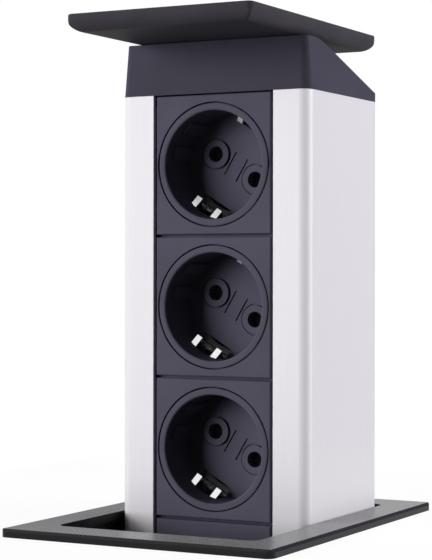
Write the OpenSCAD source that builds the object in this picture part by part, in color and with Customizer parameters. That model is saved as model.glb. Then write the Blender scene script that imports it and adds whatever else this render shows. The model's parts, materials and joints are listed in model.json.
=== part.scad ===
// Pop up desk socket: a square aluminium column with three sockets that slides up through a flange in a desk.
// Millimetres. Origin: centre of the flange hole, on the desk top. +Z up, the sockets face -Y.
// Modelled with the column pulled up; it slides down until the lid is flush with the flange.

/* [Column] */
// Width of the aluminium column
column_w = 76.5; // [70:0.5:84]
// Depth of the aluminium column, front to rear
column_d = 63; // [58:0.5:72]
// Radius of the column's upright edges
column_r = 4; // [2.5:0.25:4.5]
// Wall thickness of the aluminium profile
column_wall = 2; // [1.6:0.1:2.4]
// Height of the aluminium above the desk top when the column is up
column_rise = 156.6; // [150:0.1:190]
// Length of column that stays below the desk top when it is up
column_tail = 60; // [56:1:90]
// Width of the slot in the column's front that takes the socket plates
slot_w = 48.8; // [48.4:0.1:50]

/* [Sockets] */
// Height of each of the three socket places, one above the other
socket_pitch = 51.5; // [50.5:0.1:54]
// Gap round each front plate
plate_gap = 1; // [0.6:0.05:1.2]
// Thickness of the front plates
plate_t = 3; // [2.4:0.1:3.2]
// How far the plates lie behind the aluminium's front
plate_recess = 0.4; // [0.2:0.1:0.6]
// Bevel along the front edges of the plates
plate_bevel = 0.4; // [0.2:0.05:0.6]
// Diameter of the seam between plate and cup
ring_d = 45.3; // [44.8:0.1:45.5]
// Diameter of the plug well
well_d = 39.5; // [39:0.1:40]
// Depth of the plug well
well_depth = 18.5; // [17:0.25:19]
// Distance between the two pin holes
pin_pitch = 19; // [18.8:0.1:19.2]
// Diameter of the pin holes
pin_hole_d = 5.8; // [5.3:0.1:6]
// Turn of the pin holes from level, clockwise seen from the front
socket_turn = 31; // [20:1:34]
// Turn of a shutter from closed to open
shutter_turn = 40; // [37:1:44]

/* [Head and lid] */
// Height of the black head at its front ridge
head_h = 19.05; // [18:0.05:22]
// Height of the head at its rear edge
head_rear_h = 2.5; // [2:0.1:3.5]
// Slope of the head's top, which the lid tilts down to
head_slope = 18.2; // [17:0.1:19.5]
// Radius between the ridge and the slope
ridge_r = 36; // [24:1:40]
// How far the head's front and sides lean in over its height
head_lean = 1.4; // [0.4:0.05:1.6]
// Width of the lid
lid_w = 73; // [68:0.5:75]
// Depth of the lid, front to rear
lid_d = 106; // [100:0.5:112]
// Thickness of the lid
lid_t = 6.3; // [5:0.1:7]
// Radius of the lid's lower edges
lid_edge_r = 5.2; // [3:0.1:5.2]
// Radius of the lid's corners seen from above
lid_corner_r = 2.4; // [1:0.1:4]
// Gap between the lid and the ridge
lid_lift = 0.35; // [0.3:0.05:0.6]
// Depth of the hinge axis below the lid
hinge_drop = 4; // [3.8:0.1:4.2]
// Radius of the hinge pin
hinge_pin_r = 1.5; // [1.2:0.05:1.6]

/* [Flange and shaft] */
// Gap between the column and each side of the flange hole
side_gap = 0.9; // [0.6:0.1:3]
// Gap between the column's rear and the flange hole
rear_gap = 3.5; // [3:0.1:6]
// Gap between the lid and the front and rear of the flange hole
lid_gap = 1.5; // [1.4:0.1:2.5]
// Width of the flange beside the hole
border_side = 13.5; // [11:0.5:20]
// Width of the flange before and behind the hole
border_end = 15.5; // [13:0.5:22]
// Thickness of the flange
flange_t = 3; // [2.6:0.1:5]
// Corner radius of the flange
flange_r = 3; // [1.5:0.5:6]
// Corner radius of the hole in the flange
hole_r = 4; // [2:0.5:6]
// Bevel along the flange's upper edges
flange_bevel = 0.9; // [0.3:0.1:1]
// Wall thickness of the shaft below the desk
shaft_wall = 2; // [1.8:0.1:3]
// Thickness of the desk that the brackets clamp
desk_t = 25; // [18:1:40]
// Clearance between the column and its guide rails
slide_gap = 0.3; // [0.2:0.05:0.5]
// Clearance between the column and the felt pads
felt_gap = 0.05; // [0.05:0.05:0.15]
// Height of the rubber bumpers on the shaft's floor
bumper_h = 6; // [4:0.5:10]

/* [Hidden] */
$fn = 48;
// a small overlap for clean cuts, and the play between pieces that are only put together
cut = 1;
fit_gap = 0.15;
run_gap = 0.06;
clear_gap = 0.3;
press_gap = 0.02;

// flange hole, flange and the column's place in the hole
hole_w = column_w + 2 * side_gap;
hole_d = lid_d + 2 * lid_gap;
flange_w = hole_w + 2 * border_side;
flange_d = hole_d + 2 * border_end;
column_rear = hole_d / 2 - rear_gap;
column_front = column_rear - column_d;
column_mid = (column_front + column_rear) / 2;

// shaft, its seat in the flange and the collar inside it
shaft_step_x = 3.5;
shaft_step_y = 3;
shaft_in_w = hole_w + 2 * shaft_step_x;
shaft_in_d = hole_d + 2 * shaft_step_y;
shaft_out_w = shaft_in_w + 2 * shaft_wall;
shaft_out_d = shaft_in_d + 2 * shaft_wall;
shaft_seat = 1;
seam_gap = 0.05;
lap_w = 9;
lap_t = 1.5;
collar_h = 12;
collar_t = 2;
collar_w = shaft_in_w - 2 * fit_gap;
collar_d = shaft_in_d - 2 * fit_gap;
flange_screw_x = 26;

// heights of the column, the head and the lid
head_top = column_rise + head_h;
lid_bottom = head_top + lid_lift;
lid_top = lid_bottom + lid_t;
travel = lid_top - flange_t;
foot_t = 4;
column_bottom = foot_t - column_tail;
shaft_bottom = -(column_tail + travel + clear_gap + bumper_h);
floor_t = 2.5;

// guide rails, the stop lugs of the foot and the felt pads
rail_top = -28;
rail_wrap = 8;
rail_arm = 4;
lug_w = 12;
lug_reach = 2.5;
lug_h = 14;
groove_top = -column_tail + lug_h + clear_gap;
felt_w = 5;
felt_h = 30;
felt_sink = 1.2;
felt_in = 6;
felt_bottom = rail_top - 2 - felt_h;

// the front plates and what lies behind them, as depths behind the plate's front
plate_y = column_front + plate_recess;
plate_w = slot_w - 2 * plate_gap;
plate_h = socket_pitch - plate_gap;
tab_w = 8;
tab_reach = 1.5;
tab_t = plate_t + plate_recess - column_wall - fit_gap;
lap_lip_t = 1.2;
ring_gap = 0.5;
well_r = well_d / 2;
cup_r = ring_d / 2 - ring_gap;
cup_lip = 0.4;
cup_wall = 0.75;
cup_seat_r = well_r + cup_wall;
cup_flange_r = plate_w / 2 - 0.1;
cup_flange_front = plate_t + 0.2;
lap_lip_h = plate_h / 2 - cup_flange_r - fit_gap;
cup_flange_t = 1.8;
cup_skirt = 6.5;
cup_len = well_depth + cup_skirt;
disc_t = 3;
disc_gap = 0.1;
disc_r = cup_seat_r - disc_gap;
pin_r = pin_hole_d / 2;
pin_collar_r = 5.3;
pin_collar_h = 0.8;
groove_w = 0.6;
groove_depth = 0.6;
groove_len = 9.5;
groove_x = 2.75;
rib_w = 5;
rib_h = 1.2;
rib_sink = 0.3;
rib_turn = 16;
rib_start = 4.4;
base_front = well_depth + disc_t + disc_gap;
cavity_r = 16.8;
cavity_depth = 5.6;
cavity_floor = base_front + cavity_depth;
sleeve_len = 10;
sleeve_floor = 1;
sleeve_front = cavity_floor + 1;
base_wall = 1.5;
base_tail = 2.3;
base_back = sleeve_front + sleeve_len + base_wall + base_tail;
base_r = disc_r - 0.4;
base_rim_t = 1.9;
post_r = 2;
post_drop = 0.4;
rotor_t = 2.2;
rotor_front = base_front + 0.25;
rotor_hub_r = 4.5;
rotor_r = 13.5;
rotor_half_turn = shutter_turn / 2;
sleeve_r = 3.5;
sleeve_in_r = 2.45;
sleeve_slit = 0.8;
pocket_r = 4;
tail_r = 1.5;

// earth clip: radius of its arms, of its contact bulge and of its tips, and the depths where it bends
clip_t = 0.8;
clip_arm = well_r - 0.45;
clip_tip = well_r - 0.05;
clip_reach = 3.4;
clip_bulge = well_r - clip_reach;
clip_w = 11.8;
clip_slit = 7;
clip_tip_rise = 7;
clip_bulge_rise = 5.3;
clip_bend_rise = 1.2;
clip_tip_depth = well_depth - clip_tip_rise;
clip_bulge_depth = well_depth - clip_bulge_rise;
clip_bend_depth = well_depth - clip_bend_rise;
clip_room = 0.6;
clip_room_r = clip_bulge - clip_t - clip_room;
strap_gap = 0.2;
strap_back = base_back + strap_gap + clip_t;

// torsion spring round the shutter's post
shutter_wire = 0.22;
shutter_coil_r = post_r + 0.9;
shutter_pitch = 0.9;
shutter_coils = 2;

// contact bars and the terminal block at their lower ends
bar_t = 1;
bar_w = 5;
bar_step = 1.2;
earth_bar_front = strap_back;
live_bar_front = earth_bar_front + bar_t + bar_step;
bar_sink = 12;
bar_over = 6;
pin_x = pin_pitch / 2 * cos(socket_turn);
block_w = 30;
block_d = 12;
block_h = 20;
block_ahead = 6.5;
block_front = live_bar_front - block_ahead;
wire_hole_r = 1.8;
wire_hole_drop = 9;
wire_hole_depth = 8;
terminal_r = 1.5;
terminal_head_r = 2.4;
terminal_head_t = 1.2;

// screw channels in the column's corners
channel_r = 3.2;
channel_step = 2.6;
channel_in = column_wall + channel_step;
channel_bore_r = 1.45;
channel_x = column_w / 2 - channel_in;
channel_y = [column_front + channel_in, column_rear - channel_in];
screw_r = 1.7;
screw_head_r = 3.2;
screw_len = 12;
screw_seat = 3;
spigot_w = 2 * (channel_x - channel_r - clear_gap);
spigot_front = plate_y + cup_flange_front + cup_flange_t + clear_gap;
spigot_rear = column_rear - column_wall - clear_gap;
foot_spigot_h = 8;
head_spigot_h = socket_pitch / 2 - ring_d / 2 - clear_gap;
block_top = column_bottom + foot_spigot_h + block_h;

// small countersunk screws of the shaft
small_r = 1.5;
small_head_r = 2.8;
rail_screw_y = 22;
rail_bite = side_gap + shaft_step_x - slide_gap - 1;
floor_screw_x = 15;

// rivets of the shaft's laps
rivet_r = 1.5;
rivet_head_r = 2.8;
rivet_head_t = 0.8;
rivet_tail_r = 2.4;
rivet_tail_t = 0.7;
rivet_top = -60;
rivet_end = 30;
rivet_step = (rivet_top - rivet_end - shaft_bottom) / 2;

// hinge axis, lid ears and springs
corner_y = column_rear - (head_h - head_rear_h) / tan(head_slope);
hinge_y = corner_y - (hinge_drop - lid_lift) * tan(head_slope / 2);
hinge_z = lid_bottom - hinge_drop;
ear_r = hinge_pin_r + 1.4;
ear_w = 6;
ear_x = 19;
ear_neck = 2.4;
ear_room = 0.4;
ear_swing = 2;
spring_wire = 0.35;
spring_coil_r = hinge_pin_r + 0.85;
spring_turns = 4.25;
spring_pitch = 1.2;
spring_leg = 1.2;
spring_room = 7.5;
pin_left = -33;
pin_right = 28;

// cable inlet in the foot
inlet_in = 20;
inlet_y = column_front + inlet_in;
inlet_r = 8;
inlet_bore_r = 4.2;
inlet_gap = 0.1;
inlet_lip = 2.4;
inlet_lip_t = 2;
inlet_bevel = 0.8;
counterbore_r = 12;

// floor of the shaft and the brackets below the desk
floor_opening_w = 40;
floor_opening_d = 56;
floor_tab_w = 50;
floor_tab_h = 10;
floor_tab_t = 2;
bumper_r = 6;
bumper_taper = 1.2;
bumper_x = 28;
bumper_in = 8;
bumper_y = [column_front + bumper_in, column_rear - bumper_in];
bracket_t = 2;
bracket_leg = 46;
bracket_reach = 27;
bracket_len = 50;
bracket_hole_r = 2.25;
bracket_hole_out = 17;
bracket_hole_x = shaft_out_w / 2 + bracket_hole_out;
bracket_hole_y = 15;
slot_r = 2.2;
slot_h = 18;
bolt_r = 2;
bolt_head_r = 3.6;
bolt_head_t = 2.2;
bolt_hex_r = 1.6;
bolt_hex_depth = 1.2;
bolt_drop = 28;
bolt_z = -(desk_t + bolt_drop);
rail_screw_in = 20;
rail_screw_z = [
  rail_top - rail_screw_in,
  (rail_top + shaft_bottom) / 2 - rail_screw_in,
  shaft_bottom + rail_screw_in
];

black = "#46424c";
dark = "#2b292d";
silver = "#dedce2";
steel = "#b9bcc2";
brass = "#c9a75a";
rubber = "#1d1d1f";
felt = "#6b6a66";

// Shared shapes

module rounded_rect(w, d, r) {
  square([w - 2 * r, d], center = true);
  square([w, d - 2 * r], center = true);
  for (x = [-1, 1], y = [-1, 1])
    translate([x * (w / 2 - r), y * (d / 2 - r)])
      circle(r);
}

module rounded_block(w, d, r, z0, z1) {
  translate([0, 0, z0])
    linear_extrude(z1 - z0)
      rounded_rect(w, d, r);
}

// a block centred on the Z axis between two heights
module upright_block(w, d, z0, z1) {
  translate([-w / 2, -d / 2, z0])
    cube([w, d, z1 - z0]);
}

// the column's outline, grown by a clearance
module column_prism(grow, z0, z1) {
  translate([0, column_mid, 0])
    rounded_block(column_w + 2 * grow, column_d + 2 * grow, column_r + grow, z0, z1);
}

// both sides of the object
module both_sides() {
  children();
  mirror([1, 0, 0])
    children();
}

// countersunk screw, its flat head at z = 0 and its shank downwards
module sunk_screw(r, head_r, length, play = 0) {
  translate([0, 0, -(head_r - r)])
    cylinder(h = head_r - r, r1 = r + play, r2 = head_r + play);
  translate([0, 0, -length])
    cylinder(h = length - (head_r - r) / 2, r = r + play);
}

// the place of the sockets: x across, y up, z out of the front plate; socket 1 is the top one
function socket_z(i) = column_rise - (i - 0.5) * socket_pitch;
module at_socket(i) {
  translate([0, plate_y, socket_z(i)])
    rotate([90, 0, 0])
      children();
}

// turns the x axis to the pin holes' line
module on_pin_line() {
  rotate([0, 0, -socket_turn])
    children();
}

// round wire along a list of points, one closed tube; up is a direction that the wire never takes
function unit(v) = v / norm(v);
function along(p, i) = unit(p[min(i + 1, len(p) - 1)] - p[max(i - 1, 0)]);
module wire(points, r, up, sides = 6) {
  n = len(points);
  rings = [
    for (i = [0 : n - 1])
      let (t = along(points, i), u = unit(cross(t, up)), v = cross(t, u))
        for (k = [0 : sides - 1])
          points[i] + r * (cos(k * 360 / sides) * u + sin(k * 360 / sides) * v)
  ];
  walls = [
    for (i = [0 : n - 2], k = [0 : sides - 1])
      let (a = i * sides + k, b = i * sides + (k + 1) % sides)
        each [[a, b + sides, b], [a, a + sides, b + sides]]
  ];
  first = [for (k = [1 : sides - 2]) [0, k, k + 1]];
  last = [for (k = [1 : sides - 2]) [(n - 1) * sides, (n - 1) * sides + k + 1, (n - 1) * sides + k]];
  polyhedron(rings, concat(walls, first, last));
}

// points of a helix round the Z axis
function helix(r, pitch, turns, steps = 8) = [
  for (i = [0 : turns * steps])
    [r * cos(i * 360 / steps), r * sin(i * 360 / steps), pitch * i / steps]
];

// a slab from z = 0 up to its thickness, bevelled along the two upper edges that run in y
module bevelled_edges(span, run, t, bevel) {
  rotate([90, 0, 0])
    translate([0, 0, -run])
      linear_extrude(2 * run)
        polygon([
          [-span / 2, 0],
          [span / 2, 0],
          [span / 2, t - bevel],
          [span / 2 - bevel, t],
          [bevel - span / 2, t],
          [-span / 2, t - bevel]
        ]);
}

// a slab bevelled along all four upper edges
module bevelled_slab(w, d, t, bevel) {
  intersection() {
    bevelled_edges(w, d, t, bevel);
    rotate([0, 0, 90])
      bevelled_edges(d, w, t, bevel);
  }
}

// Flange on the desk top

module at_flange_screws() {
  for (x = [-1, 1], y = [-1, 1])
    translate([x * flange_screw_x, y * shaft_out_d / 2, -collar_h / 2])
      rotate([-y * 90, 0, 0])
        children();
}

module flange_frame() {
  color(dark)
    difference() {
      union() {
        intersection() {
          rounded_block(flange_w, flange_d, flange_r, 0, flange_t);
          bevelled_slab(flange_w, flange_d, flange_t, flange_bevel);
        }
        upright_block(collar_w, collar_d, -collar_h, shaft_seat);
      }
      rounded_block(hole_w, hole_d, hole_r, -cut, flange_t + cut);
      upright_block(collar_w - 2 * collar_t, collar_d - 2 * collar_t, -collar_h - cut, 0);
      difference() {
        upright_block(shaft_out_w + 2 * fit_gap, shaft_out_d + 2 * fit_gap, -cut, shaft_seat);
        upright_block(collar_w, collar_d, -2 * cut, shaft_seat + cut);
      }
      at_flange_screws()
        sunk_screw(small_r, small_head_r, shaft_wall + collar_t + cut, run_gap);
    }
}

module flange_screws() {
  color(steel)
    at_flange_screws()
      sunk_screw(small_r, small_head_r, shaft_wall + collar_t - fit_gap);
}

// Shaft below the desk

module at_rail_screws() {
  for (x = [-1, 1], y = [-1, 1], z = rail_screw_z)
    translate([x * shaft_out_w / 2, column_mid + y * rail_screw_y, z])
      rotate([0, x * 90, 0])
        children();
}

module at_bracket_bolts() {
  for (x = [-1, 1], y = [-1, 1])
    translate([x * (shaft_out_w / 2 + bracket_t), column_mid + y * bracket_hole_y, bolt_z])
      rotate([0, x * 90, 0])
        children();
}

module at_floor_screws() {
  for (x = [-1, 1], y = [-1, 1])
    translate([x * floor_screw_x, y * shaft_out_d / 2, shaft_bottom + floor_tab_h / 2])
      rotate([-y * 90, 0, 0])
        children();
}

module at_rivets() {
  for (y = [-1, 1], k = [0 : 2])
    translate([lap_w / 2, y * shaft_out_d / 2, rivet_top - k * rivet_step])
      rotate([-y * 90, 0, 0])
        children();
}

module bracket_bolt(play = 0) {
  shank = bracket_t + shaft_wall + rail_bite;
  translate([0, 0, -shank])
    cylinder(h = shank, r = bolt_r + play);
  cylinder(h = bolt_head_t, r = bolt_head_r);
}

module shaft_holes() {
  at_rail_screws()
    sunk_screw(small_r, small_head_r, shaft_wall + cut, run_gap);
  at_flange_screws()
    sunk_screw(small_r, small_head_r, shaft_wall + cut, run_gap);
  at_floor_screws()
    sunk_screw(small_r, small_head_r, shaft_wall + cut, run_gap);
  at_bracket_bolts()
    bracket_bolt(run_gap);
  at_rivets()
    translate([0, 0, -shaft_wall - lap_t - cut])
      cylinder(h = shaft_wall + lap_t + 2 * cut, r = rivet_r + run_gap);
}

module shaft_half_shell() {
  difference() {
    translate([seam_gap, -shaft_out_d / 2, shaft_bottom])
      cube([shaft_out_w / 2 - seam_gap, shaft_out_d, shaft_seat - seam_gap - shaft_bottom]);
    translate([-cut, -shaft_in_d / 2, shaft_bottom - cut])
      cube([shaft_in_w / 2 + cut, shaft_in_d, 2 * cut + shaft_seat - shaft_bottom]);
  }
}

module shaft_right() {
  color(dark)
    difference() {
      shaft_half_shell();
      shaft_holes();
    }
}

// the left half carries the strips that lap behind both seams
module shaft_left() {
  lap_z0 = shaft_bottom + floor_tab_h + clear_gap;
  lap_z1 = -collar_h - clear_gap;
  color(dark)
    difference() {
      union() {
        mirror([1, 0, 0])
          shaft_half_shell();
        for (y = [-1, 1])
          mirror([0, y > 0 ? 1 : 0, 0]) {
            translate([-lap_w, -shaft_in_d / 2 - shaft_wall / 2, lap_z0])
              cube([lap_w - seam_gap, lap_t + shaft_wall / 2, lap_z1 - lap_z0]);
            translate([-lap_w, seam_gap - shaft_in_d / 2, lap_z0])
              cube([2 * lap_w, lap_t - seam_gap, lap_z1 - lap_z0]);
          }
      }
      shaft_holes();
    }
}

module shaft_rivets() {
  color(steel)
    at_rivets() {
      translate([0, 0, -shaft_wall - lap_t - rivet_tail_t])
        cylinder(h = rivet_tail_t, r = rivet_tail_r);
      translate([0, 0, -shaft_wall - lap_t - rivet_tail_t / 2])
        cylinder(h = shaft_wall + lap_t + rivet_tail_t / 2 + rivet_head_t / 2, r = rivet_r);
      cylinder(h = rivet_head_t, r = rivet_head_r);
    }
}

// Guide rails

module rail_right() {
  rail_y0 = column_front - slide_gap - rail_arm;
  rail_y1 = column_rear + slide_gap + rail_arm;
  difference() {
    translate([column_w / 2 - rail_wrap, rail_y0, shaft_bottom])
      cube([shaft_in_w / 2 - column_w / 2 + rail_wrap, rail_y1 - rail_y0, rail_top - shaft_bottom]);
    column_prism(slide_gap, shaft_bottom - cut, rail_top + cut);
    translate([column_w / 2, column_mid - lug_w / 2 - clear_gap, shaft_bottom - cut])
      cube([lug_reach + clear_gap, lug_w + 2 * clear_gap, groove_top - shaft_bottom + cut]);
    felt_pockets();
    at_rail_screws()
      translate([0, 0, -shaft_wall - rail_bite - fit_gap])
        cylinder(h = shaft_wall + rail_bite + fit_gap + cut, r = small_r + run_gap);
    at_bracket_bolts()
      bracket_bolt(run_gap);
  }
}

module felt_pockets() {
  depth = felt_sink + cut;
  middle = column_d / 2 + slide_gap + (felt_sink - cut) / 2;
  for (side = [-1, 1])
    translate([
      column_w / 2 - felt_in - fit_gap,
      column_mid + side * middle - depth / 2,
      felt_bottom - fit_gap
    ])
      cube([felt_w + 2 * fit_gap, depth, felt_h + 2 * fit_gap]);
}

module guide_rail_right() {
  color(black)
    rail_right();
}

module guide_rail_left() {
  color(black)
    mirror([1, 0, 0])
      rail_right();
}

module rail_screws() {
  color(steel)
    at_rail_screws()
      sunk_screw(small_r, small_head_r, shaft_wall + rail_bite);
}

// felt pads in the rails hold the column by friction
module felt_pads() {
  pad_t = slide_gap + felt_sink - felt_gap;
  color(felt)
    both_sides()
      for (side = [-1, 1])
        translate([
          column_w / 2 - felt_in,
          column_mid + side * (column_d / 2 + felt_gap + pad_t / 2) - pad_t / 2,
          felt_bottom
        ])
          cube([felt_w, pad_t, felt_h]);
}

// Floor of the shaft

module shaft_floor() {
  color(dark)
    difference() {
      union() {
        upright_block(shaft_out_w, shaft_out_d, shaft_bottom - floor_t, shaft_bottom);
        for (y = [-1, 1])
          translate([
            -floor_tab_w / 2,
            y * (shaft_in_d / 2 - fit_gap - floor_tab_t / 2) - floor_tab_t / 2,
            shaft_bottom - cut
          ])
            cube([floor_tab_w, floor_tab_t, floor_tab_h + cut]);
      }
      translate([0, inlet_y, 0])
        upright_block(floor_opening_w, floor_opening_d, shaft_bottom - floor_t - cut, shaft_bottom + cut);
      at_floor_screws()
        sunk_screw(small_r, small_head_r, shaft_wall + floor_tab_t + cut, run_gap);
    }
}

module floor_screws() {
  color(steel)
    at_floor_screws()
      sunk_screw(small_r, small_head_r, shaft_wall + floor_tab_t);
}

module floor_bumpers() {
  color(rubber)
    for (x = [-1, 1], y = bumper_y)
      translate([x * bumper_x, y, shaft_bottom])
        cylinder(h = bumper_h, r1 = bumper_r, r2 = bumper_r - bumper_taper);
}

// Brackets that hold the unit under the desk

module bracket_right() {
  x0 = shaft_out_w / 2;
  difference() {
    union() {
      translate([x0, column_mid - bracket_len / 2, -desk_t - bracket_leg])
        cube([bracket_t, bracket_len, bracket_leg]);
      translate([x0, column_mid - bracket_len / 2, -desk_t - bracket_t])
        cube([bracket_reach, bracket_len, bracket_t]);
    }
    for (y = [-1, 1]) {
      translate([bracket_hole_x, column_mid + y * bracket_hole_y, -desk_t - bracket_t - cut])
        cylinder(h = bracket_t + 2 * cut, r = bracket_hole_r);
      translate([x0 - cut, column_mid + y * bracket_hole_y, bolt_z])
        rotate([0, 90, 0])
          linear_extrude(bracket_t + 2 * cut)
            rounded_rect(slot_h, 2 * slot_r, slot_r - press_gap);
    }
  }
}

module mounting_bracket_right() {
  color(steel)
    bracket_right();
}

module mounting_bracket_left() {
  color(steel)
    mirror([1, 0, 0])
      bracket_right();
}

module bracket_bolts() {
  color(steel)
    at_bracket_bolts()
      difference() {
        bracket_bolt();
        translate([0, 0, bolt_head_t - bolt_hex_depth])
          cylinder(h = bolt_hex_depth + cut, r = bolt_hex_r, $fn = 6);
      }
}

// Aluminium column

module at_channels(rows = channel_y) {
  for (x = [-channel_x, channel_x], y = rows)
    translate([x, y, 0])
      children();
}

module column_profile() {
  h = column_rise - column_bottom;
  color(silver)
    translate([0, 0, column_bottom])
      difference() {
        union() {
          difference() {
            column_prism(0, 0, h);
            column_prism(-column_wall, -cut, h + cut);
          }
          at_channels()
            cylinder(h = h, r = channel_r);
        }
        at_channels()
          translate([0, 0, -cut])
            cylinder(h = h + 2 * cut, r = channel_bore_r);
        translate([-slot_w / 2, column_front - cut, -cut])
          cube([slot_w, column_wall + 2 * cut, h + 2 * cut]);
      }
}

// block that centres the head or the foot inside the column, behind the sockets
module spigot(z0, z1) {
  translate([-spigot_w / 2, spigot_front, z0])
    cube([spigot_w, spigot_rear - spigot_front, z1 - z0]);
}

// Black head on the column

// the ridge's side profile: level at the front, then down to the rear
module head_profile() {
  reach = ridge_r * tan(head_slope / 2);
  difference() {
    polygon([
      [column_front, column_rise],
      [column_rear, column_rise],
      [column_rear, column_rise + head_rear_h],
      [corner_y, head_top],
      [column_front + head_lean, head_top]
    ]);
    difference() {
      polygon([
        [corner_y - reach, head_top - cut],
        [corner_y - reach, head_top + cut],
        [corner_y + cut, head_top + cut],
        [corner_y + reach * cos(head_slope) + cut, head_top - reach * sin(head_slope)],
        [corner_y + reach * cos(head_slope), head_top - reach * sin(head_slope)]
      ]);
      translate([corner_y - reach, head_top - ridge_r])
        circle(ridge_r, $fn = 180);
    }
  }
}

// extrudes a profile drawn in y and z along x, both ways
module across(width) {
  rotate([90, 0, 90])
    translate([0, 0, -width / 2])
      linear_extrude(width)
        children();
}

// room for an ear and its spring, seen along the pin
module ear_room_profile() {
  room_r = ear_r + ear_room;
  translate([hinge_y, hinge_z]) {
    circle(room_r);
    translate([-room_r, 0])
      square([2 * room_r + ear_swing, hinge_drop + cut]);
  }
}

// the head's front and sides lean in, its rear corners are as round as the column's
module head_block() {
  corner_r = column_r + press_gap;
  above = head_lean * (head_h + cut) / head_h;
  intersection() {
    translate([0, column_mid - column_r, 0])
      rounded_block(column_w + 2 * press_gap, column_d + 2 * corner_r, corner_r, column_rise, head_top + cut);
    across(column_w + 2 * cut)
      head_profile();
    rotate([90, 0, 0])
      translate([0, 0, -column_rear - cut])
        linear_extrude(column_d + 2 * cut)
          polygon([
            [-column_w / 2, column_rise],
            [column_w / 2, column_rise],
            [column_w / 2 - above, head_top + cut],
            [above - column_w / 2, head_top + cut]
          ]);
  }
}

// what the rounding of the leaning front corners takes off: a square less a cone that meets both walls
module head_corners() {
  corner_r = column_r + press_gap;
  beyond = cut * head_lean / head_h;
  both_sides()
    translate([column_w / 2 - column_r, column_front + column_r, column_rise])
      difference() {
        translate([0, -2 * column_r, -cut])
          cube([2 * column_r, 2 * column_r, head_h + 2 * cut]);
        translate([0, 0, -cut])
          cylinder(h = head_h + 2 * cut, r1 = corner_r + beyond, r2 = corner_r - head_lean - beyond);
      }
}

module column_head() {
  color(black)
    difference() {
      union() {
        difference() {
          head_block();
          head_corners();
        }
        spigot(column_rise - head_spigot_h, column_rise + cut);
      }
      both_sides()
        translate([ear_x + ear_w / 2 - spring_room / 2, 0, 0])
          across(ear_w + spring_room + 2 * clear_gap)
            ear_room_profile();
      translate([-column_w, hinge_y, hinge_z])
        rotate([0, 90, 0])
          cylinder(h = column_w + pin_right, r = hinge_pin_r + press_gap);
      at_channels([channel_y[1]])
        translate([0, 0, column_rise + screw_seat]) {
          sunk_screw(screw_r, screw_head_r, screw_seat + cut, run_gap);
          translate([0, 0, -seam_gap])
            cylinder(h = head_h, r = screw_head_r + run_gap);
        }
    }
}

module head_screws() {
  color(steel)
    at_channels([channel_y[1]])
      translate([0, 0, column_rise + screw_seat])
        thread_screw(screw_seat);
}

// the thread cuts its own channel, so the shank below the seat is as thick as the bore
module thread_screw(seat) {
  sunk_screw(screw_r, screw_head_r, seat - clear_gap);
  translate([0, 0, -screw_len])
    cylinder(h = screw_len - seat / 2, r = channel_bore_r - press_gap);
}

// Foot of the column

module column_foot() {
  color(black)
    difference() {
      union() {
        column_prism(0, -column_tail, column_bottom);
        spigot(column_bottom - cut, column_bottom + foot_spigot_h);
        both_sides() {
          translate([column_w / 2 - cut, column_mid - lug_w / 2, -column_tail])
            cube([lug_reach + cut, lug_w, foot_t - seam_gap]);
          translate([column_w / 2 + seam_gap, column_mid - lug_w / 2, -column_tail])
            cube([lug_reach - seam_gap, lug_w, lug_h]);
        }
      }
      translate([0, inlet_y, -column_tail - cut])
        cylinder(h = foot_t + 2 * cut, r = inlet_r);
      translate([0, inlet_y, column_bottom])
        cylinder(h = foot_spigot_h + cut, r = counterbore_r);
      at_channels()
        translate([0, 0, -column_tail])
          rotate([180, 0, 0])
            sunk_screw(screw_r, screw_head_r, foot_t + cut, run_gap);
    }
}

module foot_screws() {
  color(steel)
    at_channels()
      translate([0, 0, -column_tail])
        rotate([180, 0, 0])
          thread_screw(foot_t);
}

module cable_grommet() {
  color(rubber)
    translate([0, inlet_y, 0])
      rotate_extrude()
        polygon([
          [inlet_bore_r, -column_tail - inlet_lip_t],
          [inlet_r + inlet_lip - inlet_bevel, -column_tail - inlet_lip_t],
          [inlet_r + inlet_lip, -column_tail - inlet_lip_t + inlet_bevel],
          [inlet_r + inlet_lip, -column_tail],
          [inlet_r - inlet_gap, -column_tail],
          [inlet_r - inlet_gap, column_bottom],
          [inlet_r + inlet_lip, column_bottom],
          [inlet_r + inlet_lip - inlet_bevel, column_bottom + inlet_lip_t],
          [inlet_bore_r, column_bottom + inlet_lip_t]
        ]);
}

// Front plates

// a plate with tabs that catch behind the edges of the slot
module front_plate(h) {
  translate([0, 0, -plate_t])
    bevelled_slab(plate_w, h, plate_t, plate_bevel);
  for (x = [-1, 1], y = [-1, 1])
    translate([x * plate_w / 2, y * (h / 2 - tab_w), -plate_t + tab_t / 2])
      cube([2 * (plate_gap + tab_reach), tab_w, tab_t], center = true);
}

// a lip along the plate's lower edge that laps behind the next plate and closes the gap between them
module lap_lip() {
  back = -plate_t - fit_gap - lap_lip_t;
  translate([-plate_w / 2, -plate_h / 2 - plate_gap - lap_lip_h, back])
    cube([plate_w, plate_gap + 2 * lap_lip_h, lap_lip_t]);
  translate([-plate_w / 2, -plate_h / 2, back])
    cube([plate_w, lap_lip_h, lap_lip_t + plate_t / 2]);
}

module socket_plate(i) {
  color(black)
    at_socket(i) {
      difference() {
        front_plate(plate_h);
        translate([0, 0, -plate_t - cut])
          cylinder(h = plate_t + 2 * cut, d = ring_d, $fn = 96);
      }
      lap_lip();
    }
}

module blank_panel() {
  top = column_rise - 3 * socket_pitch - plate_gap / 2;
  h = top - column_bottom;
  color(black)
    translate([0, plate_y, top - h / 2])
      rotate([90, 0, 0])
        front_plate(h);
}

// Socket cups

// rooms for the two arms of the earth clip, from one depth to another
module clip_rooms(inner, outer, depth0, depth1) {
  room_w = clip_w + 2 * clip_room;
  on_pin_line()
    for (y = [-1, 1])
      translate([-room_w / 2, y * (inner + outer) / 2 - (outer - inner) / 2, -depth1])
        cube([room_w, outer - inner, depth1 - depth0]);
}

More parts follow.
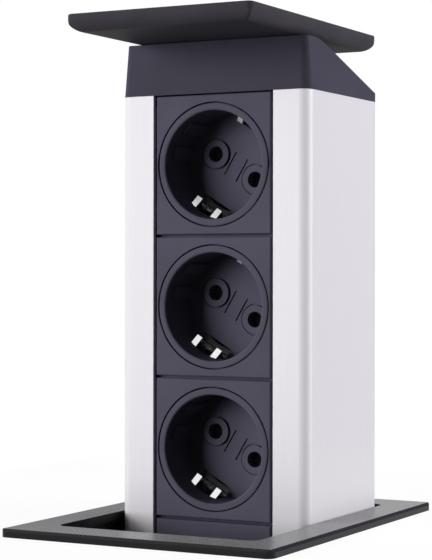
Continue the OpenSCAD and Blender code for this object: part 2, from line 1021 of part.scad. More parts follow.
module socket_cup(i) {
  color(black)
    at_socket(i)
      difference() {
        union() {
          rotate_extrude($fn = 96)
            polygon([
              [well_r, -well_depth],
              [well_r, -cup_lip],
              [well_r + cup_lip, 0],
              [cup_r - cup_lip / 2, 0],
              [cup_r, -cup_lip / 2],
              [cup_r, -cup_flange_front],
              [cup_flange_r, -cup_flange_front],
              [cup_flange_r, -cup_flange_front - cup_flange_t],
              [cup_r, -cup_flange_front - cup_flange_t],
              [cup_r, -cup_len],
              [cup_seat_r, -cup_len],
              [cup_seat_r, -well_depth]
            ]);
          on_pin_line()
            for (x = [-1, 1], turn = [-rib_turn, rib_turn])
              rotate([0, 0, turn])
                translate([x * (well_r - rib_h / 2 + rib_sink / 2), 0, -(well_depth + rib_start) / 2])
                  cube([rib_h + rib_sink, rib_w, well_depth - rib_start], center = true);
        }
        clip_rooms(clip_room_r, cup_flange_r + cut, clip_tip_depth - clip_room, cup_len + cut);
      }
}

// floor of the well with a groove round each collared pin hole and two grooves between them
module pin_disc(i) {
  color(black)
    at_socket(i)
      difference() {
        union() {
          translate([0, 0, -well_depth - disc_t])
            cylinder(h = disc_t, r = disc_r, $fn = 96);
          at_pins()
            translate([0, 0, -well_depth - disc_t / 2])
              cylinder(h = disc_t / 2 + pin_collar_h, r = pin_collar_r);
        }
        at_pins() {
          translate([0, 0, -well_depth - disc_t - cut])
            cylinder(h = disc_t + pin_collar_h + 2 * cut, r = pin_r);
          translate([0, 0, -well_depth - groove_depth])
            difference() {
              cylinder(h = groove_depth + cut, r = pin_collar_r + groove_w);
              translate([0, 0, -cut])
                cylinder(h = groove_depth + 3 * cut, r = pin_collar_r);
            }
        }
        on_pin_line()
          for (x = [-groove_x, groove_x])
            translate([x - groove_w / 2, -groove_len / 2, -well_depth - groove_depth])
              cube([groove_w, groove_len, groove_depth + cut]);
        clip_rooms(clip_room_r, disc_r + cut, well_depth - cut, well_depth + disc_t + cut);
      }
}

module at_pins() {
  on_pin_line()
    for (x = [-1, 1])
      translate([x * pin_pitch / 2, 0, 0])
        children();
}

// two wings that close the pin holes until a plug turns them aside
module shutter(i) {
  color(felt)
    at_socket(i)
      on_pin_line()
        translate([0, 0, -rotor_front - rotor_t])
          difference() {
            union() {
              cylinder(h = rotor_t, r = rotor_hub_r);
              intersection() {
                cylinder(h = rotor_t, r = rotor_r);
                for (x = [-1, 1])
                  linear_extrude(rotor_t)
                    polygon([
                      [0, 0],
                      [x * 2 * rotor_r, -2 * rotor_r * tan(rotor_half_turn)],
                      [x * 2 * rotor_r, 2 * rotor_r * tan(rotor_half_turn)]
                    ]);
              }
            }
            translate([0, 0, -cut])
              cylinder(h = rotor_t + 2 * cut, r = post_r + run_gap);
          }
}

module shutter_spring(i) {
  coil = helix(shutter_coil_r, shutter_pitch, shutter_coils);
  color(steel)
    at_socket(i)
      translate([0, 0, -cavity_floor + seam_gap + shutter_wire])
        wire(coil, shutter_wire, [0, 0, 1]);
}

// moulded block behind the well with the room for the shutter and the pockets for the contacts
module contact_base(i) {
  color(dark)
    at_socket(i)
      difference() {
        union() {
          translate([0, 0, -cup_len])
            cylinder(h = cup_len - base_front, r = disc_r);
          translate([0, 0, -cup_len - disc_gap - base_rim_t])
            cylinder(h = base_rim_t, r = cup_r);
          translate([0, 0, -base_back])
            cylinder(h = base_back - base_front, r = base_r);
        }
        difference() {
          translate([0, 0, -cavity_floor])
            cylinder(h = cavity_depth + cut, r = cavity_r);
          translate([0, 0, -cavity_floor - cut])
            cylinder(h = cavity_depth + cut - post_drop, r = post_r);
        }
        at_pins() {
          translate([0, 0, -base_back + base_wall])
            cylinder(h = base_back - cavity_floor, r = pocket_r);
          translate([0, 0, -base_back - cut])
            cylinder(h = base_wall + 2 * cut, r = tail_r + disc_gap);
        }
        clip_rooms(clip_arm - clip_t / 2 - clear_gap, cup_r + cut, 0, base_back + cut);
      }
}

// slit sleeves for the plug's pins, with tails to the contact bars
module pin_contacts(i) {
  back = sleeve_front + sleeve_len;
  color(brass)
    at_socket(i)
      at_pins()
        difference() {
          union() {
            translate([0, 0, -back])
              cylinder(h = sleeve_len, r = sleeve_r);
            translate([0, 0, -live_bar_front])
              cylinder(h = live_bar_front - back + sleeve_floor / 2, r = tail_r);
          }
          translate([0, 0, sleeve_floor - back])
            cylinder(h = sleeve_len, r = sleeve_in_r);
          translate([-sleeve_slit / 2, -sleeve_r - cut, 2 * sleeve_floor - back])
            cube([sleeve_slit, 2 * (sleeve_r + cut), sleeve_len]);
        }
}

// points beside a bent line, at a distance to its left
function left_of(a, b) = unit([a[1] - b[1], b[0] - a[0]]);
function beside(line, t) = [
  for (i = [0 : len(line) - 1])
    let (
      before = left_of(line[max(i - 1, 0)], line[max(i, 1)]),
      after = left_of(line[min(i, len(line) - 2)], line[min(i + 1, len(line) - 1)])
    )
      line[i] + t * (before + after) / (1 + before * after)
];
function backwards(list) = [for (k = [len(list) - 1 : -1 : 0]) list[k]];

// one bent strip: a strap behind the base and two slit arms whose tips fold back into the well
module earth_clip(i) {
  arm = [
    [clip_tip, -clip_tip_depth],
    [clip_bulge, -clip_bulge_depth],
    [clip_arm, -clip_bend_depth],
    [clip_arm, clip_t / 2 - strap_back]
  ];
  strip = concat(arm, backwards([for (p = arm) [-p[0], p[1]]]));
  color(silver)
    at_socket(i)
      on_pin_line()
        difference() {
          rotate([90, 0, 90])
            translate([0, 0, -clip_w / 2])
              linear_extrude(clip_w)
                polygon(concat(beside(strip, clip_t / 2), backwards(beside(strip, -clip_t / 2))));
          translate([-clip_slit / 2, -clip_tip - clip_t, -clip_bend_depth])
            cube([clip_slit, 2 * (clip_tip + clip_t), clip_bend_depth]);
        }
}

// Contact bars and terminal block

module contact_bar(x, front, w) {
  top = socket_z(1) + bar_over;
  translate([x - w / 2, plate_y + front, block_top - bar_sink])
    cube([w, bar_t, top - block_top + bar_sink]);
}

module live_bar() {
  color(brass)
    contact_bar(-pin_x, live_bar_front, bar_w);
}

module neutral_bar() {
  color(brass)
    contact_bar(pin_x, live_bar_front, bar_w);
}

module earth_bar() {
  color(brass)
    contact_bar(0, earth_bar_front, bar_w);
}

// the place of a terminal on the block's front: -1 live, 0 earth, 1 neutral
function bar_front(k) = k == 0 ? earth_bar_front : live_bar_front;
module at_terminal(k) {
  translate([k * pin_x, plate_y + block_front, block_top - bar_sink / 2])
    rotate([90, 0, 0])
      children();
}

module terminal_block() {
  color(dark)
    difference() {
      translate([-block_w / 2, plate_y + block_front, block_top - block_h])
        cube([block_w, block_d, block_h]);
      for (k = [-1, 0, 1])
        translate([
          k * pin_x - bar_w / 2 - fit_gap,
          plate_y + bar_front(k) - fit_gap,
          block_top - bar_sink - fit_gap
        ])
          cube([bar_w + 2 * fit_gap, bar_t + 2 * fit_gap, bar_sink + cut]);
      for (k = [-1, 0, 1])
        at_terminal(k) {
          translate([0, 0, block_front - bar_front(k)])
            cylinder(h = bar_front(k) - block_front + cut, r = terminal_r + run_gap);
          translate([0, -wire_hole_drop, -wire_hole_depth])
            cylinder(h = wire_hole_depth + cut, r = wire_hole_r);
        }
    }
}

// the screws press the bars' ends
module terminal_screws() {
  color(steel)
    for (k = [-1, 0, 1])
      at_terminal(k) {
        cylinder(h = terminal_head_t, r = terminal_head_r);
        translate([0, 0, block_front - bar_front(k)])
          cylinder(h = bar_front(k) - block_front + terminal_head_t / 2, r = terminal_r);
      }
}

// Lid

module lid_section(span) {
  difference() {
    translate([-span / 2, lid_bottom])
      square([span, lid_t]);
    for (x = [-1, 1])
      difference() {
        translate([x * span / 2, lid_bottom])
          square(2 * lid_edge_r, center = true);
        translate([x * (span / 2 - lid_edge_r), lid_bottom + lid_edge_r])
          circle(lid_edge_r, $fn = 96);
        translate([x * (span / 2 - 2 * lid_edge_r), lid_bottom])
          square(2 * lid_edge_r, center = true);
      }
  }
}

module lid_plate() {
  color(black)
    difference() {
      union() {
        intersection() {
          rounded_block(lid_w, lid_d, lid_corner_r, lid_bottom - cut, lid_top + cut);
          across(2 * lid_w)
            lid_section(lid_d);
          rotate([0, 0, 90])
            across(2 * lid_d)
              lid_section(lid_w);
        }
        both_sides()
          translate([ear_x + ear_w / 2, 0, 0])
            across(ear_w)
              translate([hinge_y, hinge_z]) {
                circle(ear_r);
                translate([-ear_neck, 0])
                  square([2 * ear_neck, hinge_drop + cut]);
              }
      }
      translate([-column_w / 2, hinge_y, hinge_z])
        rotate([0, 90, 0])
          cylinder(h = column_w, r = hinge_pin_r + run_gap);
    }
}

module hinge_pin() {
  color(steel)
    translate([pin_left, hinge_y, hinge_z])
      rotate([0, 90, 0])
        cylinder(h = pin_right - pin_left - fit_gap, r = hinge_pin_r);
}

// two torsion springs on the pin push the lid's rear up again: leg under the lid, coil, leg in the head
module lid_springs() {
  r = spring_coil_r;
  start = ear_x - spring_room + 2 * spring_wire;
  touch = hinge_drop - spring_wire - seam_gap;
  lid_leg = [
    [0, r + 2 * spring_leg, touch],
    [0, r + spring_leg, touch - spring_wire],
    [0, r + spring_wire, touch - spring_leg]
  ];
  coil = [for (p = helix(r, spring_pitch, spring_turns)) [p[2], p[0], -p[1]]];
  head_leg = [[spring_pitch * spring_turns, -spring_leg, -r]];
  color(steel)
    both_sides()
      translate([start, hinge_y, hinge_z])
        wire(concat(lid_leg, coil, head_leg), spring_wire, [1, 0, 0]);
}

flange_frame();
flange_screws();
shaft_left();
shaft_right();
shaft_rivets();
guide_rail_left();
guide_rail_right();
rail_screws();
felt_pads();
shaft_floor();
floor_screws();
floor_bumpers();
mounting_bracket_left();
mounting_bracket_right();
bracket_bolts();
column_profile();
column_head();
head_screws();
column_foot();
foot_screws();
cable_grommet();
blank_panel();
socket_plate(1);  // socket_plate_1
socket_plate(2);  // socket_plate_2
socket_plate(3);  // socket_plate_3
socket_cup(1);  // socket_cup_1
socket_cup(2);  // socket_cup_2
socket_cup(3);  // socket_cup_3
pin_disc(1);  // pin_disc_1
pin_disc(2);  // pin_disc_2
pin_disc(3);  // pin_disc_3
shutter(1);  // shutter_1
shutter(2);  // shutter_2
shutter(3);  // shutter_3
shutter_spring(1);  // shutter_spring_1
shutter_spring(2);  // shutter_spring_2
shutter_spring(3);  // shutter_spring_3
contact_base(1);  // contact_base_1
contact_base(2);  // contact_base_2
contact_base(3);  // contact_base_3
pin_contacts(1);  // pin_contacts_1
pin_contacts(2);  // pin_contacts_2
pin_contacts(3);  // pin_contacts_3
earth_clip(1);  // earth_clip_1
earth_clip(2);  // earth_clip_2
earth_clip(3);  // earth_clip_3
live_bar();
neutral_bar();
earth_bar();
terminal_block();
terminal_screws();
lid_plate();
hinge_pin();
lid_springs();
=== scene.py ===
import json
import math

import bmesh
import bpy
from mathutils import Matrix, Vector


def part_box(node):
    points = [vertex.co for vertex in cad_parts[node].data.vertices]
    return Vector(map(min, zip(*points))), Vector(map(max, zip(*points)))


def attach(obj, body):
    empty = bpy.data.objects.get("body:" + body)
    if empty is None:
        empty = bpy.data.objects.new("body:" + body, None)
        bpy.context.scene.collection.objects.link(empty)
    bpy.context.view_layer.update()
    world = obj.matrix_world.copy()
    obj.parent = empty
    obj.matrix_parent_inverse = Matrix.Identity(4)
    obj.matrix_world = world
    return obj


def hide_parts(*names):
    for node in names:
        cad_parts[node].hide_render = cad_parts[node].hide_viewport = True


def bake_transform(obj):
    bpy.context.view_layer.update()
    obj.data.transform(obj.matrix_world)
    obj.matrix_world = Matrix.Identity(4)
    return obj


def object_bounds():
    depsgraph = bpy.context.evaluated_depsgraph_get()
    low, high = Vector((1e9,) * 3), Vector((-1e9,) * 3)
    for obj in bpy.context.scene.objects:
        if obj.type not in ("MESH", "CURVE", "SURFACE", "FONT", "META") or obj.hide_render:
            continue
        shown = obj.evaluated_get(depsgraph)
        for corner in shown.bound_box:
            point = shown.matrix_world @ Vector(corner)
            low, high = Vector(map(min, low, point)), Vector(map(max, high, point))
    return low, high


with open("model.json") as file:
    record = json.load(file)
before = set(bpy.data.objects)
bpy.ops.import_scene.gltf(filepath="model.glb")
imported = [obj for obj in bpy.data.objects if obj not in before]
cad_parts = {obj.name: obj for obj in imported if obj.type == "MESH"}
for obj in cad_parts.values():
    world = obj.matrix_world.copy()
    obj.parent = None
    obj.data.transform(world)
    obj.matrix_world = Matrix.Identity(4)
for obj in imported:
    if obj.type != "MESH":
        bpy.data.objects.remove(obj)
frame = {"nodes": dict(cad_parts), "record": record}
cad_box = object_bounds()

# Lengths are metres, as in the frame. MM turns millimetres into metres.
MM = 0.001
NODES = frame["nodes"]
BEHAVIOUR = frame["record"]["behaviour"]
SLOT_OF = {row["node"]: row["material_slot"] for row in frame["record"]["subparts"]}
SOCKETS = (1, 2, 3)

# Camera: where it looks, from how far, and the lens and sensor in millimetres
CAM_AZIMUTH = math.radians(27.927)
CAM_ELEVATION = math.radians(0.268)
CAM_ROLL = math.radians(0.067)
CAM_DISTANCE = 0.693434
CAM_TARGET = Vector((-0.014296, 0.018, 0.088909))
CAM_LENS = 117.582
CAM_SENSOR = 36.0
CAM_CLIP = 0.01

# Desk sample that the flange lies on, with the cut-out that the shaft passes through, and the floor below
DESK_HALF = Vector((0.17, 0.19))
DESK_TOP = 0.0
DESK_T = 25 * MM
DESK_CUT_PLAY = 1 * MM
FLOOR_DROP = 0.05
FLOOR_HALF = 6.0
CORNERS = ((-1, -1), (1, -1), (1, 1), (-1, 1))

# How bright the white surroundings are to the camera, in what is mirrored, and as plain light on the object
DESK_SEEN = 0.93
FLOOR_SEEN = 1.0
STAGE_MIRRORED = 0.6
STAGE_PLAIN = 0.0
WORLD_SEEN = 1.0
WORLD_MIRRORED = 1.0
WORLD_PLAIN = 0.02

# The point that lamps and cards face, and the cards' distance from it and reach below and above it
LIGHT_TARGET = Vector((0.0, 0.0, 0.08))
CARD_DISTANCE = 1.6
CARD_LOW = Vector((0, 0, -0.3))
CARD_HIGH = Vector((0, 0, 1.4))

# Widths of the rounded edges
FLANGE_EDGE = 0.35 * MM
PROFILE_EDGE = 0.25 * MM
HEAD_EDGE = 0.5 * MM
LID_EDGE = 0.6 * MM
BLANK_EDGE = 0.3 * MM
PLATE_EDGE = 0.2 * MM
CUP_EDGE = 0.35 * MM
DISC_EDGE = 0.15 * MM
CLIP_EDGE = 0.12 * MM

# Where edges are rounded: so far behind a front, from the head's walls, above its seat, from the hinge's axis
# and above the desk
PLATE_FRONT = 0.5 * MM
SOCKET_FRONT = 0.1 * MM
HEAD_WALL = 2.2 * MM
HEAD_SEAT_GAP = 1 * MM
PIN_ROOM = 2.5 * MM
FLANGE_LOW = 1.5 * MM

# Cleaning of a shape: points so near are one, faces so level are one, shorter edges go, and edges that turn
# more than SHARP are sharp. WELD joins the points that the rounding leaves in one place, and the weight keeps
# the shading of large faces flat.
SAME_POINT = 0.002 * MM
LEVEL = math.radians(0.5)
SHORT_EDGE = 0.05 * MM
SHARP = math.radians(25)
WELD = 0.005 * MM
FLAT_FACE_WEIGHT = 80

# Colours, linear
PALE = (0.1, 0.1, 0.102)
PANEL = (0.088, 0.082, 0.115)
HEAD = (0.055, 0.051, 0.072)
LID = (0.045, 0.042, 0.051)
FLANGE = (0.01, 0.0092, 0.0112)
SHAFT = (0.008, 0.008, 0.0084)
RAIL = (0.045, 0.044, 0.048)
BASE = (0.035, 0.034, 0.036)
SHUTTER = (0.006, 0.006, 0.007)
ALUMINIUM = (0.845, 0.822, 0.86)
ZINC = (0.62, 0.63, 0.66)
SPRING = (0.45, 0.45, 0.47)
NICKEL = (0.86, 0.86, 0.87)
BRASS = (0.75, 0.57, 0.27)
RUBBER = (0.016, 0.016, 0.017)
FELT = (0.17, 0.165, 0.155)

# The span of a noise texture's values that colour and roughness spread over
COLOUR_SPAN = (0.35, 0.65)
ROUGHNESS_SPAN = (0.3, 0.7)


def scaled(colour, factor):
    return tuple(c * factor for c in colour)


def linked(name, data):
    """A new object of the scene, of a mesh, a lamp or a camera."""
    piece = bpy.data.objects.new(name, data)
    bpy.context.scene.collection.objects.link(piece)
    return piece


# Materials

class Surface:
    """A node material being built: a Principled shader with textures in the object's own space."""

    def __init__(self, name, roughness, metallic=0.0):
        self.material = bpy.data.materials.new(name)
        self.material.use_nodes = True
        self.tree = self.material.node_tree
        self.shader = self.tree.nodes["Principled BSDF"]
        self.set(Roughness=roughness, Metallic=metallic)
        self.space = self.add("ShaderNodeTexCoord").outputs["Object"]

    def set(self, **values):
        for name, value in values.items():
            self.shader.inputs[name.replace("_", " ")].default_value = value

    def add(self, kind):
        return self.tree.nodes.new(kind)

    def link(self, source, target):
        self.tree.links.new(source, target)

    def noise(self, scale, detail=2.0, stretch=(1, 1, 1)):
        """Noise of so many features a metre, stretched along the axes."""
        mapping = self.add("ShaderNodeMapping")
        mapping.inputs["Scale"].default_value = stretch
        self.link(self.space, mapping.inputs["Vector"])
        node = self.add("ShaderNodeTexNoise")
        node.inputs["Scale"].default_value = scale
        node.inputs["Detail"].default_value = detail
        self.link(mapping.outputs["Vector"], node.inputs["Vector"])
        return node.outputs["Fac"]

    def colour(self, source, base, spread):
        node = self.add("ShaderNodeValToRGB")
        first, last = node.color_ramp.elements
        first.position, last.position = COLOUR_SPAN
        first.color = (*scaled(base, 1 - spread), 1)
        last.color = (*scaled(base, 1 + spread), 1)
        self.link(source, node.inputs["Fac"])
        self.link(node.outputs["Color"], self.shader.inputs["Base Color"])

    def roughness(self, source, low, high):
        node = self.add("ShaderNodeMapRange")
        node.inputs["From Min"].default_value, node.inputs["From Max"].default_value = ROUGHNESS_SPAN
        node.inputs["To Min"].default_value = low
        node.inputs["To Max"].default_value = high
        self.link(source, node.inputs["Value"])
        self.link(node.outputs["Result"], self.shader.inputs["Roughness"])

    def bump(self, source, strength, depth):
        node = self.add("ShaderNodeBump")
        node.inputs["Strength"].default_value = strength
        node.inputs["Distance"].default_value = depth
        self.link(source, node.inputs["Height"])
        self.link(node.outputs["Normal"], self.shader.inputs["Normal"])


def grained_plastic(name, base, roughness, depth=0.03 * MM, specular=0.5, sheen=0.0):
    """Moulded plastic with a fine spark-eroded grain and faint clouds in its colour."""
    s = Surface(name, roughness)
    s.set(Specular_IOR_Level=specular, Sheen_Weight=sheen, Sheen_Roughness=0.3)
    s.colour(s.noise(scale=55, detail=3), base, spread=0.06)
    grain = s.noise(scale=3200)
    s.roughness(grain, low=roughness - 0.05, high=roughness + 0.07)
    s.bump(grain, strength=0.25, depth=depth)
    return s.material


def anodised(name, base, roughness):
    """Satin anodised aluminium with fine lines along the extrusion."""
    s = Surface(name, roughness, metallic=0.38)
    lines = s.noise(scale=6000, stretch=(1, 1, 0.004))
    s.colour(lines, base, spread=0.02)
    wider_lines = s.noise(scale=4000, stretch=(1, 1, 0.006))
    s.roughness(wider_lines, low=roughness - 0.03, high=roughness + 0.04)
    s.bump(lines, strength=0.05, depth=0.01 * MM)
    return s.material


def plated(name, base, roughness):
    """Plated steel or rolled brass with faint clouds and rolling marks."""
    s = Surface(name, roughness, metallic=1.0)
    s.colour(s.noise(scale=90, detail=3), base, spread=0.07)
    s.roughness(s.noise(scale=700, detail=3), low=roughness - 0.05, high=roughness + 0.08)
    s.bump(s.noise(scale=1800), strength=0.05, depth=0.02 * MM)
    return s.material


def soft_rubber(name, base):
    s = Surface(name, roughness=0.75)
    s.colour(s.noise(scale=160, detail=3), base, spread=0.15)
    s.bump(s.noise(scale=2600), strength=0.2, depth=0.03 * MM)
    return s.material


def pressed_felt(name, base):
    s = Surface(name, roughness=0.95)
    s.set(Sheen_Weight=0.4, Sheen_Roughness=0.5)
    fibres = s.noise(scale=1500, detail=4, stretch=(1, 1, 0.4))
    s.colour(fibres, base, spread=0.3)
    s.bump(fibres, strength=0.6, depth=0.1 * MM)
    return s.material


MATERIALS = {
    "panel_plastic": grained_plastic("panel_plastic", PANEL, 0.8, specular=0.1),
    "head_plastic": grained_plastic("head_plastic", HEAD, 0.65, specular=0.12),
    "lid_plastic": grained_plastic("lid_plastic", LID, 0.6, specular=0.15),
    "flange_plastic": grained_plastic(
        "flange_plastic", FLANGE, 0.28, depth=0.005 * MM, specular=0.22, sheen=0.165
    ),
    "shaft_plastic": grained_plastic("shaft_plastic", SHAFT, 0.6, specular=0.06),
    "rail_plastic": grained_plastic("rail_plastic", RAIL, 0.5),
    "base_plastic": grained_plastic("base_plastic", BASE, 0.45),
    "shutter_plastic": grained_plastic("shutter_plastic", SHUTTER, 0.7, specular=0.1),
    "column_aluminium": anodised("column_aluminium", ALUMINIUM, 0.48),
    "bracket_steel": plated("bracket_steel", ZINC, 0.38),
    "screw_steel": plated("screw_steel", ZINC, 0.3),
    "spring_steel": plated("spring_steel", SPRING, 0.3),
    "clip_steel": plated("clip_steel", NICKEL, 0.26),
    "contact_brass": plated("contact_brass", BRASS, 0.3),
    "rubber": soft_rubber("rubber", RUBBER),
    "felt": pressed_felt("felt", FELT),
}


def dress(piece, slot):
    piece.data.materials.clear()
    piece.data.materials.append(MATERIALS[slot])
    for face in piece.data.polygons:
        face.material_index = 0


for node, slot in SLOT_OF.items():
    dress(NODES[node], slot)


# Pieces with softened edges, each made from its node's own shape

def prepare(mesh, shows):
    """Cleans a mesh and marks the edges to round: the sharp outer ones, or those of them that show."""
    shape = bmesh.new()
    shape.from_mesh(mesh)
    bmesh.ops.remove_doubles(shape, verts=shape.verts, dist=SAME_POINT)
    bmesh.ops.dissolve_limit(
        shape,
        angle_limit=LEVEL,
        verts=shape.verts,
        edges=shape.edges,
        use_dissolve_boundaries=False,
    )
    bmesh.ops.dissolve_degenerate(shape, dist=SHORT_EDGE, edges=shape.edges)
    weight = shape.edges.layers.float.new("bevel_weight_edge")
    for edge in shape.edges:
        middle = (edge.verts[0].co + edge.verts[1].co) / 2
        sharp = edge.calc_face_angle(0) > SHARP
        rounded = sharp and edge.is_convex and (shows is None or shows(middle))
        edge[weight] = float(rounded)
        edge.smooth = rounded or not sharp
    shape.to_mesh(mesh)
    shape.free()
    for face in mesh.polygons:
        face.use_smooth = True


def softened(node, width, shows=None, segments=3):
    """A piece in the node's place. Its sharp outer edges, or those that show, are rounded by the width."""
    mesh = NODES[node].data.copy()
    prepare(mesh, shows)
    piece = linked(node + "_soft", mesh)
    bevel = piece.modifiers.new("edges", "BEVEL")
    bevel.width = width
    bevel.segments = segments
    bevel.limit_method = "WEIGHT"
    weld = piece.modifiers.new("weld", "WELD")
    weld.merge_threshold = WELD
    normals = piece.modifiers.new("normals", "WEIGHTED_NORMAL")
    normals.mode = "FACE_AREA_WITH_ANGLE"
    normals.weight = FLAT_FACE_WEIGHT
    normals.keep_sharp = True
    slot = SLOT_OF[node]
    dress(piece, slot)
    body = next(b for b, members in BEHAVIOUR["bodies"].items() if node in members)
    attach(piece, body)
    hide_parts(node)


def front_of(node, depth):
    """Tells whether a point lies within a depth of the node's front."""
    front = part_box(node)[0].y + depth
    return lambda point: point.y < front


def above_desk(point):
    return point.z > FLANGE_LOW


def outside_of_head(point):
    """Tells whether a point lies on the head's outer walls, above its seat and clear of the hinge pin."""
    low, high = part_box("column_head")
    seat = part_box("column_profile")[1].z
    hinge = next(j["pos_m"] for j in BEHAVIOUR["joints"] if j["name"] == "lid_tilt")
    near_wall = min(point.x - low.x, high.x - point.x, point.y - low.y) < HEAD_WALL
    at_pin = math.hypot(point.y - hinge[1], point.z - hinge[2]) < PIN_ROOM
    return near_wall and not at_pin and point.z > seat + HEAD_SEAT_GAP


softened("flange_frame", FLANGE_EDGE, above_desk)
softened("column_profile", PROFILE_EDGE)
softened("column_head", HEAD_EDGE, outside_of_head)
softened("lid_plate", LID_EDGE)
softened("blank_panel", BLANK_EDGE)
for i in SOCKETS:
    softened(f"socket_plate_{i}", PLATE_EDGE, front_of(f"socket_plate_{i}", PLATE_FRONT))
    softened(f"socket_cup_{i}", CUP_EDGE, front_of(f"socket_cup_{i}", SOCKET_FRONT))
    softened(f"pin_disc_{i}", DISC_EDGE, front_of(f"pin_disc_{i}", SOCKET_FRONT))
    softened(f"earth_clip_{i}", CLIP_EDGE, segments=2)


# Springs of the lid: a copy of their shape in its place, with the node hidden

def wound_springs(node):
    piece = linked(node + "_wire", NODES[node].data.copy())
    dress(piece, SLOT_OF[node])
    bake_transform(piece)
    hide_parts(node)


wound_springs("lid_springs")


# Desk sample and floor

def by_ray(tree, plain, seen, mirrored):
    """A strength that differs between what the camera sees, what is mirrored and plain light."""
    path = tree.nodes.new("ShaderNodeLightPath")
    value = None
    strengths = {"Is Glossy Ray": mirrored, "Is Transmission Ray": seen, "Is Camera Ray": seen}
    for name, strength in strengths.items():
        node = tree.nodes.new("ShaderNodeMix")
        node.inputs["A"].default_value = plain
        node.inputs["B"].default_value = strength
        tree.links.new(path.outputs[name], node.inputs["Factor"])
        if value:
            tree.links.new(value, node.inputs["A"])
        value = node.outputs["Result"]
    return value


def white_surface(name, seen):
    """Pale matt material that the camera sees lifted to white. It is mirrored less brightly."""
    material = bpy.data.materials.new(name)
    material.use_nodes = True
    tree = material.node_tree
    tree.nodes.clear()
    out = tree.nodes.new("ShaderNodeOutputMaterial")
    both = tree.nodes.new("ShaderNodeAddShader")
    matt = tree.nodes.new("ShaderNodeBsdfDiffuse")
    light = tree.nodes.new("ShaderNodeEmission")
    matt.inputs["Color"].default_value = (*PALE, 1)
    tree.links.new(by_ray(tree, STAGE_PLAIN, seen, STAGE_MIRRORED), light.inputs["Strength"])
    tree.links.new(matt.outputs[0], both.inputs[0])
    tree.links.new(light.outputs[0], both.inputs[1])
    tree.links.new(both.outputs[0], out.inputs["Surface"])
    return material


def ring_slab(name, inner, outer, top, bottom):
    """A slab with a rectangular hole: inner and outer are half sizes in x and y."""
    mesh = bpy.data.meshes.new(name)
    shape = bmesh.new()
    loops = [
        [shape.verts.new((x * half[0], y * half[1], z)) for x, y in CORNERS]
        for half, z in ((inner, top), (outer, top), (outer, bottom), (inner, bottom))
    ]
    for a, b in zip(loops, loops[1:] + loops[:1]):
        for k in range(4):
            n = (k + 1) % 4
            shape.faces.new((a[k], b[k], b[n], a[n]))
    bmesh.ops.recalc_face_normals(shape, faces=shape.faces)
    shape.to_mesh(mesh)
    shape.free()
    return linked(name, mesh)


def quad(name, corners):
    mesh = bpy.data.meshes.new(name)
    mesh.from_pydata(corners, [], [(0, 1, 2, 3)])
    return linked(name, mesh)


shaft_low, shaft_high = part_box("shaft_left")
cut_half = (-shaft_low.x + DESK_CUT_PLAY, shaft_high.y + DESK_CUT_PLAY)
desk = ring_slab("desk_sample", cut_half, DESK_HALF, DESK_TOP, DESK_TOP - DESK_T)
desk.data.materials.append(white_surface("desk_white", DESK_SEEN))

floor_z = cad_box[0].z - FLOOR_DROP
floor = quad("floor", [(x * FLOOR_HALF, y * FLOOR_HALF, floor_z) for x, y in CORNERS])
floor.data.materials.append(white_surface("floor_white", FLOOR_SEEN))


# Light

def direction(azimuth, elevation):
    """Unit vector from the object: azimuth 0 is in front of the sockets, a quarter turn at their right."""
    level = math.cos(elevation)
    return Vector((math.sin(azimuth) * level, -math.cos(azimuth) * level, math.sin(elevation)))


def around(azimuth, elevation, distance):
    """The place at a distance from the light's target, with its angles in degrees."""
    return LIGHT_TARGET + direction(math.radians(azimuth), math.radians(elevation)) * distance


def area_light(name, place, size, power):
    data = bpy.data.lights.new(name, "AREA")
    data.shape = "RECTANGLE"
    data.size, data.size_y = size
    data.energy = power
    lamp = linked(name, data)
    lamp.location = place
    lamp.rotation_mode = "QUATERNION"
    lamp.rotation_quaternion = (LIGHT_TARGET - place).to_track_quat("-Z", "Y")
    lamp.visible_glossy = False


def glow(name, colour):
    material = bpy.data.materials.new(name)
    material.use_nodes = True
    tree = material.node_tree
    tree.nodes.clear()
    light = tree.nodes.new("ShaderNodeEmission")
    light.inputs["Color"].default_value = (*colour, 1)
    out = tree.nodes.new("ShaderNodeOutputMaterial")
    tree.links.new(light.outputs[0], out.inputs["Surface"])
    return material


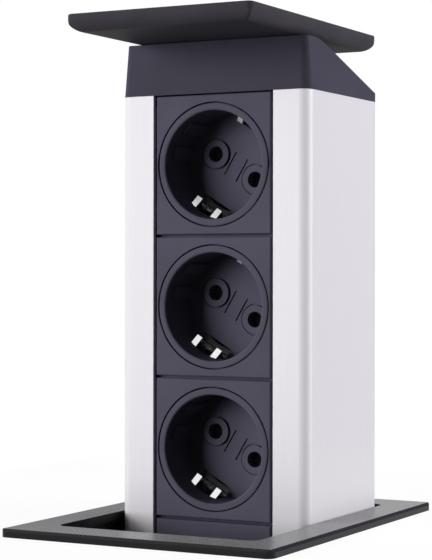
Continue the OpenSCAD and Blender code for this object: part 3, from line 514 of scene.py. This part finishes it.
def reflector(name, azimuth, width, colour):
    """An upright card that is only seen mirrored, in the metal or in the flange."""
    turn = math.radians(azimuth)
    half = Vector((math.cos(turn), math.sin(turn), 0)) * width / 2
    middle = around(azimuth, 0, CARD_DISTANCE)
    left, right = middle - half, middle + half
    card = quad(name, [left + CARD_LOW, right + CARD_LOW, right + CARD_HIGH, left + CARD_HIGH])
    card.data.materials.append(glow(name, colour))
    card.visible_camera = False
    card.visible_diffuse = False
    card.visible_shadow = False
    card.visible_transmission = False


area_light("key_left", around(-37, 7, distance=2.6), size=(1.9, 1.2), power=80)
area_light("fill_right", around(122, 9, distance=1.3), size=(0.9, 0.7), power=21)
area_light("top_soft", Vector((0.0, 0.3, 1.4)), size=(1.2, 1.2), power=4)
reflector("left_card", azimuth=-30, width=1.4, colour=(1.0, 0.99, 1.01))
reflector("grey_card", azimuth=18, width=1.2, colour=(1.0, 0.99, 1.01))
reflector("lilac_card", azimuth=160, width=1.5, colour=(0.2, 0.17, 0.27))
reflector("edge_card", azimuth=100, width=0.75, colour=(1.4, 1.37, 1.43))
reflector("rear_card", azimuth=218, width=0.6, colour=(0.48, 0.47, 0.49))

world = bpy.data.worlds.new("studio")
bpy.context.scene.world = world
world.use_nodes = True
background = world.node_tree.nodes["Background"]
background.inputs["Color"].default_value = (1, 1, 1, 1)
strength = by_ray(world.node_tree, WORLD_PLAIN, WORLD_SEEN, WORLD_MIRRORED)
world.node_tree.links.new(strength, background.inputs["Strength"])


# Camera

def photo_camera():
    back = direction(CAM_AZIMUTH, CAM_ELEVATION)
    right = Vector((math.cos(CAM_AZIMUTH), math.sin(CAM_AZIMUTH), 0))
    up = back.cross(right)
    right, up = (
        right * math.cos(CAM_ROLL) + up * math.sin(CAM_ROLL),
        up * math.cos(CAM_ROLL) - right * math.sin(CAM_ROLL),
    )
    data = bpy.data.cameras.new("camera")
    data.lens = CAM_LENS
    data.sensor_width = CAM_SENSOR
    data.clip_start = CAM_CLIP
    camera = linked("camera", data)
    turn = Matrix((right, up, back)).transposed().to_4x4()
    camera.matrix_world = Matrix.Translation(CAM_TARGET + back * CAM_DISTANCE) @ turn
    bpy.context.scene.camera = camera


photo_camera()
bpy.context.scene.view_settings.view_transform = "Standard"
